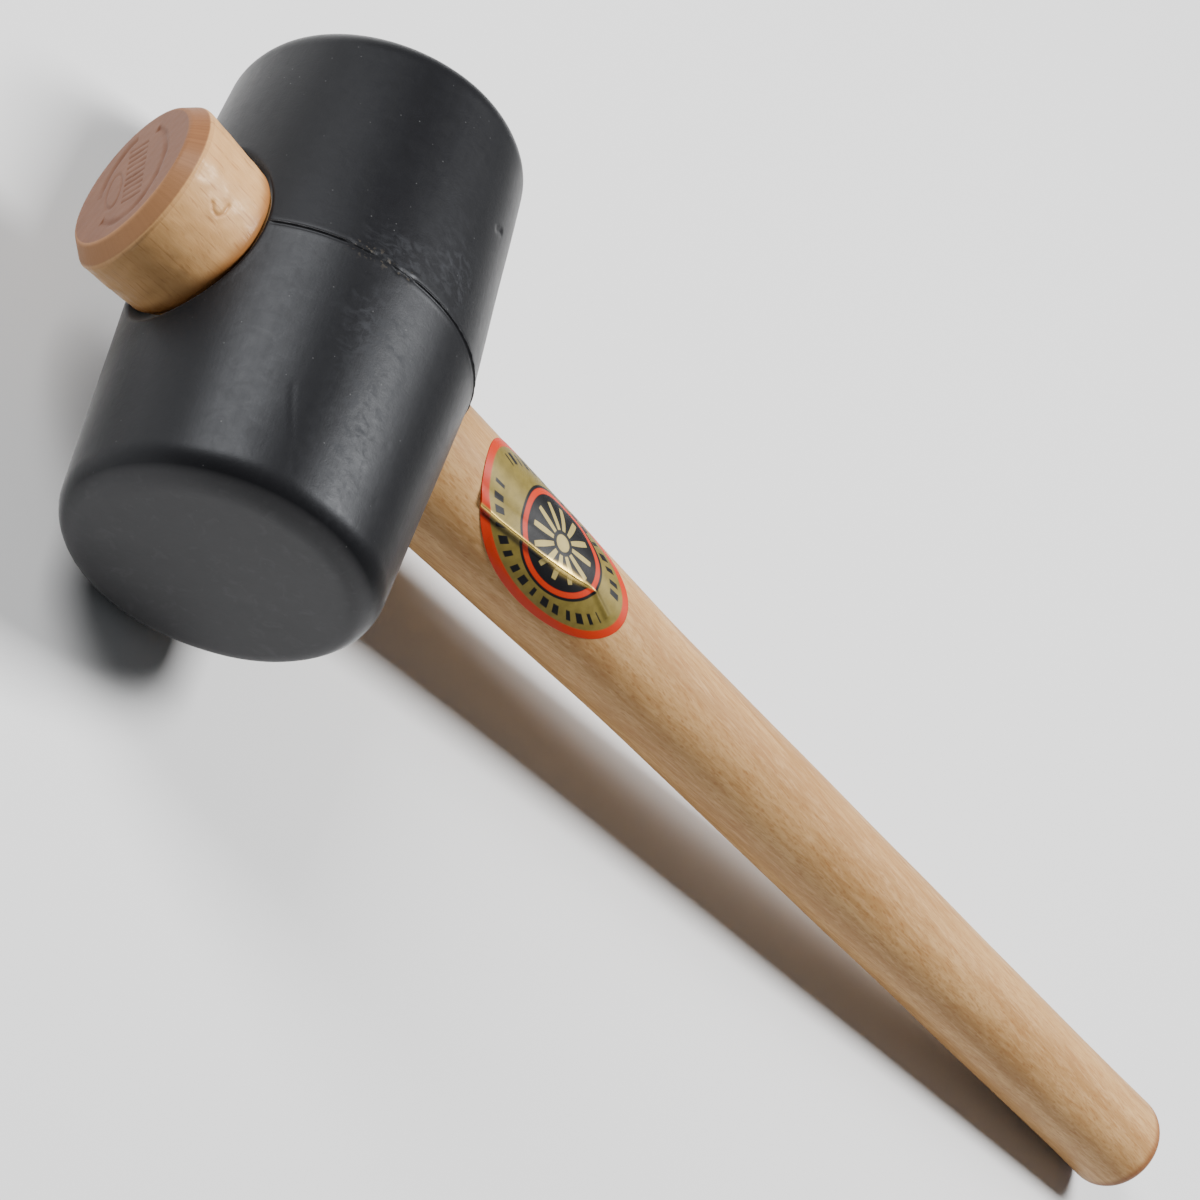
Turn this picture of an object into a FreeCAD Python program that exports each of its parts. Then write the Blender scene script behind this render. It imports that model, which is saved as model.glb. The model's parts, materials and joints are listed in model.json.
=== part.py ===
import FreeCAD, Part
import math
import os

# Rubber mallet with a turned beech handle, millimetres.
# Every piece is drawn in the mallet's own axes and then laid down on the bench:
#   X runs along the handle from the knob to the grip end, Y along the head,
#   Z up, and the head's centre is the origin.

# Moulded rubber head: two drafted halves that meet at the parting line.
HEAD_LENGTH = 105.5
HEAD_RADIUS = 32.0
HEAD_END_RADIUS = 28.7
HEAD_EDGE_ROUND = 6.2
FLASH_HEIGHT = 0.3
FLASH_HALF_WIDTH = 0.5

# Tapered eye through the head, shared by the handle's neck.
NECK_TOP_X = -27.2
NECK_TOP_RADIUS = 15.23
NECK_END_X = 95.0
NECK_END_RADIUS = 12.23
EYE_REACH = 40.0
MOUTH_DEPTH_X = -27.0
MOUTH_SLOPE = 1.2
LIP_START_X = 27.5
LIP_SLOPE = 0.3

# Knob that stops the head at the top of the handle.
KNOB_FACE_X = -45.6
KNOB_FACE_RADIUS = 14.6
KNOB_CHAMFER_DEPTH = 3.0
KNOB_CHAMFER_RADIUS = 17.08
KNOB_SIDE_SLOPE = 0.062
KNOB_SHOULDER_ROUND = 2.2
KNOB_FACE_TILT_DEG = 7.5

# Grip below the neck: a slim waist, a nearly straight grip and a slight flare.
WAIST_X = 107.0
WAIST_BLEND = 11.0
FLARE_X = 288.0
FLARE_BLEND = 20.0
FLARE_RADIUS = 11.85
GRIP_END_X = 314.0
GRIP_END_RADIUS = 12.15
GRIP_END_ROUND = 4.0

# Foil label wrapped on the neck just below the head.
LABEL_CENTRE_X = 62.4
LABEL_CENTRE_DEG = 8.7
LABEL_HALF_LENGTH = 24.4
LABEL_HALF_WIDTH = 13.9
LABEL_SKEW_DEG = 8.6
LABEL_THICKNESS = 0.12
LABEL_POINTS = 24

ORIGIN = FreeCAD.Vector(0.0, 0.0, 0.0)
X_AXIS = FreeCAD.Vector(1.0, 0.0, 0.0)
Y_AXIS = FreeCAD.Vector(0.0, 1.0, 0.0)


def neck_slope():
    return (NECK_END_RADIUS - NECK_TOP_RADIUS) / (NECK_END_X - NECK_TOP_X)


def neck_radius(x):
    return NECK_TOP_RADIUS + neck_slope() * (x - NECK_TOP_X)


def on_handle(x, radius):
    return FreeCAD.Vector(x, 0.0, radius)


def line(a, b):
    return Part.LineSegment(a, b).toShape()


def polyline(points):
    return [line(a, b) for a, b in zip(points, points[1:])]


def revolve_about(edges, axis):
    return Part.Face(Part.Wire(edges)).revolve(ORIGIN, axis, 360.0)


def head_draft():
    return math.atan2(HEAD_RADIUS - HEAD_END_RADIUS, HEAD_LENGTH / 2)


def head_round_centre():
    """Station and radius of the centre of the end rounding."""
    draft = head_draft()
    station = HEAD_LENGTH / 2 - HEAD_EDGE_ROUND
    side = HEAD_RADIUS - math.tan(draft) * station
    return station, side - HEAD_EDGE_ROUND / math.cos(draft)


def rounding_point(angle):
    """Point of the end rounding; the angle is measured from the radial direction."""
    station, radius = head_round_centre()
    along = station + HEAD_EDGE_ROUND * math.sin(angle)
    out = radius + HEAD_EDGE_ROUND * math.cos(angle)
    return FreeCAD.Vector(0.0, along, out)


def head_half():
    """One drafted half of the head, from the parting line to the striking face."""
    draft = head_draft()
    middle = (draft + math.pi / 2) / 2
    bottom = FreeCAD.Vector(0.0, 0.0, HEAD_RADIUS + FLASH_HEIGHT)
    flash_foot = HEAD_RADIUS - math.tan(draft) * FLASH_HALF_WIDTH
    foot = FreeCAD.Vector(0.0, FLASH_HALF_WIDTH, flash_foot)
    start = rounding_point(draft)
    end = rounding_point(math.pi / 2)
    centre = FreeCAD.Vector(0.0, HEAD_LENGTH / 2, 0.0)
    arc = Part.Arc(start, rounding_point(middle), end).toShape()
    edges = polyline([ORIGIN, bottom, foot, start])
    edges.append(arc)
    edges += polyline([end, centre, ORIGIN])
    return revolve_about(edges, Y_AXIS)


def eye_tool():
    """Tapered eye, flared at the knob's mouth and eased at the lower lip."""
    outer = -EYE_REACH
    mouth_radius = neck_radius(MOUTH_DEPTH_X)
    rim = mouth_radius + MOUTH_SLOPE * (MOUTH_DEPTH_X - outer)
    lip_radius = neck_radius(LIP_START_X)
    lip = lip_radius + LIP_SLOPE * (EYE_REACH - LIP_START_X)
    points = [
        on_handle(outer, 0.0),
        on_handle(outer, rim),
        on_handle(MOUTH_DEPTH_X, mouth_radius),
        on_handle(LIP_START_X, lip_radius),
        on_handle(EYE_REACH, lip),
        on_handle(EYE_REACH, 0.0),
        on_handle(outer, 0.0),
    ]
    return revolve_about(polyline(points), X_AXIS)


def rubber_head():
    half = head_half()
    other = half.mirror(ORIGIN, Y_AXIS)
    return half.fuse(other).removeSplitter().cut(eye_tool())


def shoulder_arc():
    """Rounded underside of the knob, tangent to the knob's side."""
    side_angle = math.atan(KNOB_SIDE_SLOPE)
    foot = on_handle(NECK_TOP_X, neck_radius(NECK_TOP_X))
    centre_x = NECK_TOP_X - KNOB_SHOULDER_ROUND
    side = KNOB_CHAMFER_RADIUS - KNOB_SIDE_SLOPE * (centre_x - KNOB_FACE_X - KNOB_CHAMFER_DEPTH)
    centre_r = side - KNOB_SHOULDER_ROUND / math.cos(side_angle)
    start_x = centre_x + KNOB_SHOULDER_ROUND * math.sin(side_angle)
    start = on_handle(start_x, centre_r + KNOB_SHOULDER_ROUND * math.cos(side_angle))
    turn = math.acos((foot.z - centre_r) / KNOB_SHOULDER_ROUND)
    end_x = centre_x + KNOB_SHOULDER_ROUND * math.sin(turn)
    end = on_handle(end_x, foot.z)
    half_turn = (turn + side_angle) / 2
    middle_x = centre_x + KNOB_SHOULDER_ROUND * math.sin(half_turn)
    middle = on_handle(middle_x, centre_r + KNOB_SHOULDER_ROUND * math.cos(half_turn))
    return start, middle, end


def blend_arc(corner, before, after, reach):
    """Arc that rounds a corner between two straights, starting reach from it."""
    into = corner.sub(before).normalize()
    out = after.sub(corner).normalize()
    start = corner.sub(into * reach)
    end = corner.add(out * reach)
    inward = out.sub(into).normalize()
    turn = into.getAngle(out)
    middle = corner.add(inward * (reach * math.tan(turn / 4)))
    return start, Part.Arc(start, middle, end).toShape(), end


def grip_edges(neck_foot):
    """Neck, waist, grip and flare, from under the knob to the end rounding."""
    neck_end = on_handle(NECK_END_X, NECK_END_RADIUS)
    waist = on_handle(WAIST_X, neck_radius(WAIST_X))
    grip = on_handle(FLARE_X, FLARE_RADIUS)
    last = on_handle(GRIP_END_X - GRIP_END_ROUND, GRIP_END_RADIUS)
    waist_start, waist_arc, waist_end = blend_arc(waist, neck_end, grip, WAIST_BLEND)
    flare_start, flare_arc, flare_end = blend_arc(grip, waist, last, FLARE_BLEND)
    neck = line(neck_foot, waist_start)
    straight = line(waist_end, flare_start)
    return [neck, waist_arc, straight, flare_arc, line(flare_end, last)]


def turned_handle():
    """The handle as it leaves the lathe, before the knob's end is trimmed."""
    start, middle, end = shoulder_arc()
    over = KNOB_FACE_X - KNOB_CHAMFER_DEPTH
    side = KNOB_CHAMFER_RADIUS + 2 * KNOB_SIDE_SLOPE * KNOB_CHAMFER_DEPTH
    round_x = GRIP_END_X - GRIP_END_ROUND
    round_start = on_handle(round_x, GRIP_END_RADIUS)
    diagonal = GRIP_END_ROUND * math.sqrt(0.5)
    round_r = GRIP_END_RADIUS - GRIP_END_ROUND
    round_middle = on_handle(round_x + diagonal, round_r + diagonal)
    round_end = on_handle(GRIP_END_X, round_r)
    edges = polyline([on_handle(over, 0.0), on_handle(over, side), start])
    edges.append(Part.Arc(start, middle, end).toShape())
    edges += grip_edges(end)
    edges.append(Part.Arc(round_start, round_middle, round_end).toShape())
    edges += polyline([round_end, on_handle(GRIP_END_X, 0.0), on_handle(over, 0.0)])
    return revolve_about(edges, X_AXIS)


def knob_trim():
    """Chamfered end of the knob, sawn a few degrees out of square."""
    slope = (KNOB_CHAMFER_RADIUS - KNOB_FACE_RADIUS) / KNOB_CHAMFER_DEPTH
    wide_x = KNOB_FACE_X + HEAD_LENGTH
    wide = KNOB_FACE_RADIUS + slope * HEAD_LENGTH
    points = [
        on_handle(KNOB_FACE_X, 0.0),
        on_handle(KNOB_FACE_X, KNOB_FACE_RADIUS),
        on_handle(wide_x, wide),
        on_handle(GRIP_END_X + HEAD_RADIUS, wide),
        on_handle(GRIP_END_X + HEAD_RADIUS, 0.0),
        on_handle(KNOB_FACE_X, 0.0),
    ]
    tool = revolve_about(polyline(points), X_AXIS)
    tool.rotate(on_handle(KNOB_FACE_X, 0.0), Y_AXIS, -KNOB_FACE_TILT_DEG)
    return tool


def handle():
    return turned_handle().common(knob_trim())


def label_point(turn, lift):
    """Point of the label's oval outline, wrapped round the neck."""
    skew = math.radians(LABEL_SKEW_DEG)
    along = LABEL_HALF_LENGTH * math.cos(turn)
    across = LABEL_HALF_WIDTH * math.sin(turn)
    x = LABEL_CENTRE_X + along * math.cos(skew) - across * math.sin(skew)
    arc_length = along * math.sin(skew) + across * math.cos(skew)
    wrap = math.radians(LABEL_CENTRE_DEG) + arc_length / neck_radius(LABEL_CENTRE_X)
    radius = neck_radius(x) + lift
    return FreeCAD.Vector(x, -radius * math.sin(wrap), radius * math.cos(wrap))


def label_outline(lift):
    step = 2 * math.pi / LABEL_POINTS
    points = [label_point(step * i, lift) for i in range(LABEL_POINTS)]
    curve = Part.BSplineCurve()
    curve.interpolate(Points=points, PeriodicFlag=True)
    return Part.Wire(curve.toShape())


def label_sleeve():
    """Thin shell of the label's thickness lying on the neck."""
    low = LABEL_CENTRE_X - LABEL_HALF_LENGTH - 1.0
    high = LABEL_CENTRE_X + LABEL_HALF_LENGTH + 1.0
    points = [
        on_handle(low, neck_radius(low)),
        on_handle(low, neck_radius(low) + LABEL_THICKNESS),
        on_handle(high, neck_radius(high) + LABEL_THICKNESS),
        on_handle(high, neck_radius(high)),
        on_handle(low, neck_radius(low)),
    ]
    return revolve_about(polyline(points), X_AXIS)


def label_cutter():
    """Oval cutter whose walls stand square to the neck's surface."""
    inner = label_outline(-1.0)
    outer = label_outline(1.0)
    return Part.makeLoft([inner, outer], False, True)


def label():
    wall = label_cutter()
    pieces = label_sleeve().generalFuse([wall])[0].Solids
    wrap = math.radians(LABEL_CENTRE_DEG)
    radius = neck_radius(LABEL_CENTRE_X) + LABEL_THICKNESS / 2
    inside = FreeCAD.Vector(LABEL_CENTRE_X, -radius * math.sin(wrap), radius * math.cos(wrap))
    return min(pieces, key=lambda solid: solid.distToShape(Part.Vertex(inside))[0])


def resting_lean():
    """Angle that lays one drafted half of the head flat on the bench."""
    station, radius = head_round_centre()
    drop = radius - HEAD_RADIUS - FLASH_HEIGHT
    reach = math.hypot(station, drop)
    return -(math.atan2(drop, station) + math.asin(HEAD_EDGE_ROUND / reach))


def resting_height():
    """Height of the head's centre when it lies on the parting line and one edge."""
    return (HEAD_RADIUS + FLASH_HEIGHT) * math.cos(resting_lean())


def resting_tilt():
    """Angle of the handle below level when the grip end also touches the bench."""
    along = GRIP_END_X - GRIP_END_ROUND
    across = GRIP_END_RADIUS - GRIP_END_ROUND
    drop = resting_height() - GRIP_END_ROUND
    slope = math.asin(drop / math.hypot(along, across)) - math.atan2(across, along)
    return math.asin(math.sin(slope) / math.cos(resting_lean()))


def lay_down(shape):
    shape.rotate(ORIGIN, Y_AXIS, math.degrees(resting_tilt()))
    shape.rotate(ORIGIN, X_AXIS, math.degrees(resting_lean()))
    return shape


def main():
    pieces = {"rubber_head": rubber_head(), "handle": handle(), "label": label()}
    for shape in pieces.values():
        lay_down(shape)
    box = Part.makeCompound(list(pieces.values())).optimalBoundingBox()
    base = FreeCAD.Vector(-box.Center.x, -box.Center.y, -box.ZMin)
    os.makedirs("parts", exist_ok=True)
    for name, shape in pieces.items():
        shape.translate(base)
        shape.exportStep("parts/" + name + ".step")


main()
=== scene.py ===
import json
import math

import bpy
import numpy as np
from mathutils import Matrix, Vector


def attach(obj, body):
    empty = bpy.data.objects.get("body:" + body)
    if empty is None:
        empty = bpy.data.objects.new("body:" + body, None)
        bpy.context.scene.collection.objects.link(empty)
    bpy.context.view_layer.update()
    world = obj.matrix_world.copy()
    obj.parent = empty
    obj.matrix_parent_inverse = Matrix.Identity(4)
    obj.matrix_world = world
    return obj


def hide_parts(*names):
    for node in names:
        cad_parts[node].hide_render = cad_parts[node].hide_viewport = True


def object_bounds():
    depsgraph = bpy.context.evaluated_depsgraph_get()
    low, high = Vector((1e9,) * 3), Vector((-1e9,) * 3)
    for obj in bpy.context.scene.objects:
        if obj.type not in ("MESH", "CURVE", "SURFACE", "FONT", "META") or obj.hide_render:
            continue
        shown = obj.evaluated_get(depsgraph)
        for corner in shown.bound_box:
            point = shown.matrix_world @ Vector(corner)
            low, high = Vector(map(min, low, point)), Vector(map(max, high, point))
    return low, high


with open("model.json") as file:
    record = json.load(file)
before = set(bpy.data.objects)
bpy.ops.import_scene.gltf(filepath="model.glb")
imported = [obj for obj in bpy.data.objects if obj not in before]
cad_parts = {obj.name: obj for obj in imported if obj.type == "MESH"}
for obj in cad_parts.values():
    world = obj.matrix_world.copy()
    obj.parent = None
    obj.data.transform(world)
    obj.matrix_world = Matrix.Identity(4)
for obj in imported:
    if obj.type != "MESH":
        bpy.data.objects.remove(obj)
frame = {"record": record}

cad_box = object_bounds()

# ------------------------------------------------------------------ mallet axes
# Shapes are drawn in the mallet's own millimetres: X from the knob to the grip
# end, Y along the head, Z up, with the origin at the head's centre.
MOUNTS = {m["name"]: m for m in frame["record"]["mounts"]}
NEAR_FACE = np.array(MOUNTS["near_striking_face"]["pos_m"])
FAR_FACE = np.array(MOUNTS["far_striking_face"]["pos_m"])
CENTRE = (NEAR_FACE + FAR_FACE) / 2
HEAD_LENGTH_M = np.linalg.norm(FAR_FACE - NEAR_FACE)
AXIS_Y = (FAR_FACE - NEAR_FACE) / HEAD_LENGTH_M
GRIP_AXIS = np.array(MOUNTS["grip"]["axis"])
ACROSS = GRIP_AXIS - AXIS_Y * (GRIP_AXIS @ AXIS_Y)
AXIS_X = ACROSS / np.linalg.norm(ACROSS)
AXIS_Z = np.cross(AXIS_X, AXIS_Y)
AXES = np.stack([AXIS_X, AXIS_Y, AXIS_Z])

# ------------------------------------------------------------------ sizes, mm
# Head, its parting line, and the stretch of it where the flash is torn away.
HALF_HEAD = HEAD_LENGTH_M * 500
MID_R, END_R, EDGE_ROUND = 32.0, 28.7, 6.2
DRAFT_SLOPE = (MID_R - END_R) / HALF_HEAD
DRAFT = math.atan(DRAFT_SLOPE)
FLASH_HEIGHT, FLASH_HALF_WIDTH = 0.3, 0.5
NICK_FROM_DEG, NICK_TO_DEG = -33.6, -9.7
# Neck, and the eye in the head that it fills.
NECK_X, NECK_R = -27.2, 15.23
NECK_END_X, NECK_END_R = 95.0, 12.23
NECK_SLOPE = (NECK_END_R - NECK_R) / (NECK_END_X - NECK_X)
MOUTH_X, MOUTH_SLOPE = 27.0, 1.2
LIP_X, LIP_SLOPE = 27.5, 0.3
EYE_EDGE_ROUND = 0.5
# Knob, with its end out of square.
KNOB_X, KNOB_FACE_R = -45.6, 14.6
CHAMFER_DEPTH, CHAMFER_R = 3.0, 17.08
CHAMFER_WIDEN = (CHAMFER_R - KNOB_FACE_R) / CHAMFER_DEPTH
KNOB_SIDE_SLOPE, SHOULDER_ROUND = 0.062, 2.2
KNOB_TILT = math.radians(7.5)
# Waist, grip and flared end, which stops just short of the solid's to stay in its box.
WAIST_X, WAIST_BLEND = 107.0, 11.0
FLARE_X, FLARE_BLEND, FLARE_R = 288.0, 20.0, 11.85
GRIP_X, GRIP_R, GRIP_ROUND = 313.97, 12.15, 4.0
# Label on the neck.
LABEL_X, LABEL_TURN, LABEL_SKEW = 62.4, math.radians(8.7), math.radians(8.6)
LABEL_HALF_LONG, LABEL_HALF_WIDE, LABEL_THICK = 24.4, 13.9, 0.12

# Fineness of the meshes.
ROUND_STEPS = 400
CORNER_STEPS = (0.25, 0.5, 0.75, 1.0)
BISECTIONS = 40


def neck_radius(x):
    return NECK_R + NECK_SLOPE * (x - NECK_X)


def to_frame(points):
    """Mallet millimetres to the frame's metres."""
    return CENTRE + (np.asarray(points, float) / 1000) @ AXES


# ------------------------------------------------------------------ shape helpers
def ripple(points, wavelength, seed, waves=10):
    """Smooth noise of unit size at an array of points."""
    rng = np.random.default_rng(seed)
    total = np.zeros(len(points))
    for _ in range(waves):
        way = rng.normal(size=3)
        pitch = wavelength * rng.uniform(0.6, 1.6) * np.linalg.norm(way)
        total += np.sin(points @ way * (2 * math.pi / pitch) + rng.uniform(0, 2 * math.pi))
    return total / math.sqrt(waves / 2)


def bell(distance, width):
    return np.exp(-((distance / width) ** 2))


def stroke(u, v, corners, width):
    """1 along a polyline on a flattened surface, falling to 0 beside it."""
    nearest = np.full(len(u), 1e9)
    for (au, av), (bu, bv) in zip(corners, corners[1:]):
        du, dv = bu - au, bv - av
        t = np.clip(((u - au) * du + (v - av) * dv) / (du * du + dv * dv), 0, 1)
        nearest = np.minimum(nearest, np.hypot(u - au - t * du, v - av - t * dv))
    return bell(nearest, width)


def bezier(start, corner, end):
    """Rings that round a corner between two rings."""
    return [(1 - t) ** 2 * start + 2 * t * (1 - t) * corner + t * t * end for t in CORNER_STEPS]


def bisect(inside, low, high):
    """Value where a test of an array of values turns false, between two limits."""
    for _ in range(BISECTIONS):
        middle = (low + high) / 2
        held = inside(middle)
        low, high = np.where(held, middle, low), np.where(held, high, middle)
    return (low + high) / 2


def ring_quads(rows, columns, closed=True):
    row = np.arange(rows - 1)[:, None] * columns
    column = np.arange(columns if closed else columns - 1)[None, :]
    after = (column + 1) % columns
    corners = [row + column, row + after, row + columns + after, row + columns + column]
    return np.stack(corners, -1).reshape(-1, 4)


def around_ring(count):
    """Each place in a closed ring of points, with the place after it."""
    steps = np.arange(count)
    return steps, np.roll(steps, -1)


def make_piece(name, verts, faces, node, paint, chart):
    """One mesh object that stands for a CAD node, with painted point values."""
    mesh = bpy.data.meshes.new(name)
    mesh.from_pydata(to_frame(verts).tolist(), [], [tuple(map(int, f)) for f in faces])
    mesh.shade_smooth()
    for key, values in paint.items():
        layer = mesh.attributes.new(key, "FLOAT", "POINT")
        layer.data.foreach_set("value", np.asarray(values, np.float32))
    corners = np.zeros(len(mesh.loops), np.int64)
    mesh.loops.foreach_get("vertex_index", corners)
    uv = mesh.uv_layers.new(name="chart")
    uv.data.foreach_set("uv", np.asarray(chart, np.float32)[corners].ravel())
    piece = bpy.data.objects.new(name, mesh)
    bpy.context.scene.collection.objects.link(piece)
    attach(piece, "root")
    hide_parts(node)
    return piece


# ------------------------------------------------------------------ rubber head
SIDE, EDGE, FACE = 0, 1, 2
SEAM_STATIONS = [0, 0.08, 0.16, 0.24, 0.34, 0.5, 0.7, 1.0, 1.4, 1.9]
SIDE_STATIONS, EDGE_STATIONS, FACE_STATIONS = 84, 16, 32
SIDE_FROM_Y, FACE_MIDDLE_R = 2.4, 0.6
EYE_SEARCH_R = 24.0

# Dents and lines on the side: depth, width, and corners as (degrees round, mm along).
SIDE_STROKES = (
    (0.25, 0.6, ((21.5, 28.0), (25.5, 29.3))),
    (0.07, 0.4, ((-33.9, -31.0), (-31.0, -36.0), (-24.1, -45.8))),
    (0.05, 0.4, ((-21.2, 32.7), (-14.0, 29.0))),
    (0.03, 0.4, ((-10.0, 24.0), (-4.0, 17.0))),
)
SIDE_PITS, FACE_PITS, FACE_PIT_REACH = 18, 12, 18
# Smeared patches on the side: mm round, mm along, half width and half length.
SMEARS = ((3, 9, 6, 6), (-9, 3.5, 7, 4), (-7, -13, 7, 7), (-4, -32, 6, 14))


def head_rows():
    """Rows (y, radius, zone) from the near face's middle to the far face's."""
    edge_y = HALF_HEAD - EDGE_ROUND
    edge_r = MID_R - DRAFT_SLOPE * edge_y - EDGE_ROUND / math.cos(DRAFT)
    tangent_y = edge_y + EDGE_ROUND * math.sin(DRAFT)
    side = SEAM_STATIONS + list(np.linspace(SIDE_FROM_Y, tangent_y, SIDE_STATIONS))
    rows = [(y, MID_R - DRAFT_SLOPE * y, SIDE) for y in side]
    for turn in np.linspace(DRAFT, math.pi / 2, EDGE_STATIONS)[1:]:
        rows.append((edge_y + EDGE_ROUND * math.sin(turn), edge_r + EDGE_ROUND * math.cos(turn), EDGE))
    rows += [(HALF_HEAD, r, FACE) for r in np.linspace(edge_r, FACE_MIDDLE_R, FACE_STATIONS)[1:]]
    rows = np.array(rows)
    return np.vstack([rows[1:][::-1] * [-1, 1, 1], rows]), edge_y, edge_r


def nick_zone(degrees):
    """1 along the stretch of the parting line where the flash is torn away."""
    rise = 1 / (1 + np.exp((NICK_FROM_DEG - degrees) / 0.8))
    fall = 1 / (1 + np.exp((degrees - NICK_TO_DEG) / 0.8))
    return rise * fall


def parting_relief(y, arc, nick):
    """The flash along the parting line, and its torn stretch."""
    ragged = np.sin(arc * 1.9 + 1.3 * np.sin(arc * 0.7)) * np.sin(arc * 0.43 + 1.0)
    flash = FLASH_HEIGHT * (0.8 + 0.2 * ragged) * (1 - 0.85 * nick)
    fin = flash * np.clip(1 - np.abs(y) / 0.28, 0, 1)
    beside = 0.05 * bell(np.abs(y) - 0.5, 0.2) * (1 - nick)
    wander = 0.5 * np.sin(arc * 0.9) + 0.35 * np.sin(arc * 2.3 + 1) + 0.2 * np.sin(arc * 5.1)
    torn = 0.30 * nick * bell(y + 0.2 - 0.5 * wander, 0.42) * (0.5 + 0.5 * np.sin(arc * 3.7) ** 2)
    lip = 0.09 * nick * bell(y - 0.8 - 0.45 * wander, 0.3)
    rim = 0.05 * bell(y + 0.95, 0.35) * (1 - nick)
    return fin - beside - torn + lip + rim


def side_marks(y, arc):
    """Depth of the dents, lines and pits on the head's side."""
    marks = np.zeros(len(y))
    for depth, width, corners in SIDE_STROKES:
        places = [(MID_R * math.radians(degrees), along) for degrees, along in corners]
        marks += depth * stroke(arc, y, places, width)
    rng = np.random.default_rng(7)
    for _ in range(SIDE_PITS):
        pit_arc, pit_y = rng.normal(-1.8, 6.0), rng.normal(-30.0, 8.0)
        depth, width = rng.uniform(0.01, 0.04), rng.uniform(0.45, 0.7)
        marks += depth * bell(np.hypot(arc - pit_arc, y - pit_y), width)
    return marks


def face_relief(x, z, seed):
    """Shallow wear on a striking face; positive is outwards."""
    rng = np.random.default_rng(seed)
    flat = np.stack([x, z, np.zeros_like(x)], -1)
    relief = -0.05 + 0.025 * ripple(flat, 18, seed) + 0.004 * ripple(flat, 3, seed + 5)
    for _ in range(FACE_PITS):
        turn = rng.uniform(0, 2 * math.pi)
        reach = FACE_PIT_REACH * math.sqrt(rng.uniform())
        width = rng.uniform(0.6, 1.6)
        away = np.hypot(x - reach * math.cos(turn), z - reach * math.sin(turn))
        relief -= rng.uniform(0.01, 0.06) * bell(away, width)
    return relief


def head_surface():
    """Points and quads of the worn head, before the eye is opened."""
    rows, edge_y, edge_r = head_rows()
    around = np.tile(np.linspace(-math.pi, math.pi, ROUND_STEPS, endpoint=False), len(rows))
    y, r, zone = (np.repeat(rows[:, i], ROUND_STEPS) for i in range(3))
    points = np.stack([r * np.sin(around), y, r * np.cos(around)], -1)
    lean = np.where(zone == SIDE, DRAFT, math.pi / 2)
    lean = np.where(zone == EDGE, np.arctan2(np.abs(y) - edge_y, r - edge_r), lean)
    arc = MID_R * around
    sunk = 0.03 * ripple(points, 32, 11) - 0.08
    relief = sunk + parting_relief(y, arc, nick_zone(np.degrees(around))) - side_marks(y, arc)
    near_wear, far_wear = (face_relief(points[:, 0], points[:, 2], seed) for seed in (21, 22))
    wear = np.where(y < 0, near_wear, far_wear)
    lift = np.where(zone == FACE, 0, relief * np.cos(lean))
    lift += np.where(zone == SIDE, 0, wear * np.sin(lean))
    radial = np.cos(lean)
    outward = [radial * np.sin(around), np.sign(y) * np.sin(lean), radial * np.cos(around)]
    points += np.stack(outward, -1) * lift[:, None]
    return points, ring_quads(len(rows), ROUND_STEPS)


def flare_x(radius, side):
    """How far out the eye's flare has reached at a given radius."""
    if side < 0:
        return MOUTH_X + (radius - neck_radius(-MOUTH_X)) / MOUTH_SLOPE
    return LIP_X + (radius - neck_radius(LIP_X)) / LIP_SLOPE


def outer_x(turn, radius):
    """Height of the head's side above the head's axis, at a place round the eye."""
    y, z = radius * np.cos(turn), radius * np.sin(turn)
    return np.sqrt((MID_R - DRAFT_SLOPE * np.abs(y)) ** 2 - z ** 2)


def round_eye(x, turn, radius, side):
    x = np.broadcast_to(x, turn.shape)
    return np.stack([side * x, radius * np.cos(turn), radius * np.sin(turn)], -1)


def rim_radius(turn, side):
    """Where the eye's flare meets the head's outer side."""
    def under_side(radius):
        return outer_x(turn, radius) > flare_x(radius, side)

    return bisect(under_side, np.full(len(turn), 13.0), np.full(len(turn), EYE_SEARCH_R))


def eye_rings(turn, side):
    """Rings from the head's side over the rounded rim and down into the eye."""
    rim = rim_radius(turn, side)
    start = round_eye(outer_x(turn, rim + EYE_EDGE_ROUND), turn, rim + EYE_EDGE_ROUND, side)
    corner = round_eye(outer_x(turn, rim), turn, rim, side)
    lower = rim - 0.8 * EYE_EDGE_ROUND
    rings = bezier(start, corner, round_eye(flare_x(lower, side), turn, lower, side))
    foot_x = MOUTH_X if side < 0 else LIP_X
    foot = neck_radius(side * foot_x)
    for t in CORNER_STEPS:
        radius = lower * (1 - t) + foot * t
        rings.append(round_eye(flare_x(radius, side), turn, radius, side))
    for depth in (1.0, 3.0):
        rings.append(round_eye(foot_x - depth, turn, foot, side))
    return start, rings


def open_loop(quads, gone, near):
    """The ordered loop of points round a hole cut in a grid of quads."""
    kept_edges = set()
    for face in quads[~gone & near[quads].any(1)]:
        kept_edges.update(zip(face.tolist(), np.roll(face, -1).tolist()))
    following = {}
    for face in quads[gone]:
        for a, b in zip(face.tolist(), np.roll(face, -1).tolist()):
            if (b, a) in kept_edges:
                following[a] = b
    loop = [next(iter(following))]
    while following[loop[-1]] != loop[0]:
        loop.append(following[loop[-1]])
    return np.array(loop)


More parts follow.
